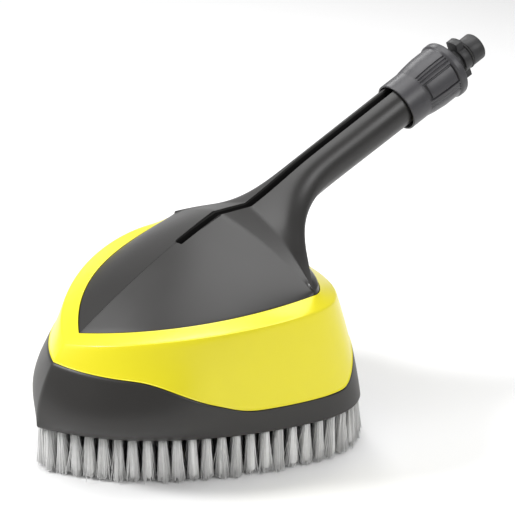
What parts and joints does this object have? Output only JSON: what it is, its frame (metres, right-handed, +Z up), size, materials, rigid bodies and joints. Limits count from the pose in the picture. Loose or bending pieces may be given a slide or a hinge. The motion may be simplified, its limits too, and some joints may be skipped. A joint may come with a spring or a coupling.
{
  "type": "pressure washer wash brush",
  "caption": "Pointed splash-guard wash brush with a ring of pale nylon tufts, a yellow shroud and a rising hollow handle that ends in a bayonet coupling.",
  "frame": {"origin": "on the floor plane of the tuft tips, midway along the overall length and across the width", "axes": "+Y from the pointed nose towards the coupling, +X to the right half of the cover as seen from behind the handle, +Z up from the tuft tips"},
  "size_m": [0.2212, 0.4106, 0.2618],
  "materials": {
    "cover_plastic": "satin moulded, fine grain",
    "shroud_plastic": "smooth moulded, slightly glossy",
    "skirt_plastic": "satin moulded",
    "inner_plastic": "plain moulded",
    "bristle_nylon": "bundled nylon filaments",
    "collar_plastic": "satin moulded",
    "nipple_plastic": "glass-filled, dull",
    "pipe_plastic": "plain extruded",
    "brass": "turned",
    "steel": "zinc plated",
    "seal_rubber": "smooth"
  },
  "bodies": {
    "root": {"cover_right": "cover_plastic", "cover_left": "cover_plastic", "splash_shroud": "shroud_plastic", "deck": "inner_plastic", "spray_manifold": "pipe_plastic", "fan_nozzles": "brass", "nozzle_caps": "inner_plastic", "nozzle_seals": "seal_rubber", "feed_pipe": "pipe_plastic", "pipe_seals": "seal_rubber", "pipe_saddles": "inner_plastic", "lance_socket": "inner_plastic", "socket_o_ring": "seal_rubber", "journal_circlip": "steel", "handle_screws": "steel", "deck_screws": "steel", "lever_pin": "steel", "lever_spring": "steel"},
    "brush_insert": {"skirt_frame": "skirt_plastic", "brush_carrier": "inner_plastic", "tufts_outer_row": "bristle_nylon", "tufts_middle_row": "bristle_nylon", "tufts_inner_row": "bristle_nylon"},
    "coupling": {"bayonet_nipple": "nipple_plastic", "nipple_o_ring": "seal_rubber", "coupling_collar": "collar_plastic", "collar_ring": "inner_plastic"},
    "lever": {"release_lever": "skirt_plastic"}
  },
  "joints": [
    {"name": "insert_release", "type": "slide", "parent": "root", "child": "brush_insert", "axis": [0, 0, -1], "range_m": [0, 0.06]},
    {"name": "coupling_turn", "type": "hinge", "parent": "root", "child": "coupling", "pos_m": [0, 0.11946, 0.2141], "axis": [0, 0.9078, 0.4195], "range_deg": [0, 90]},
    {"name": "lever_press", "type": "hinge", "parent": "root", "child": "lever", "pos_m": [0, 0.01966, 0.06], "axis": [1, 0, 0], "range_deg": [0, 12], "stiffness_Nm_per_rad": 0.05, "springref_deg": -5.73}
  ]
}
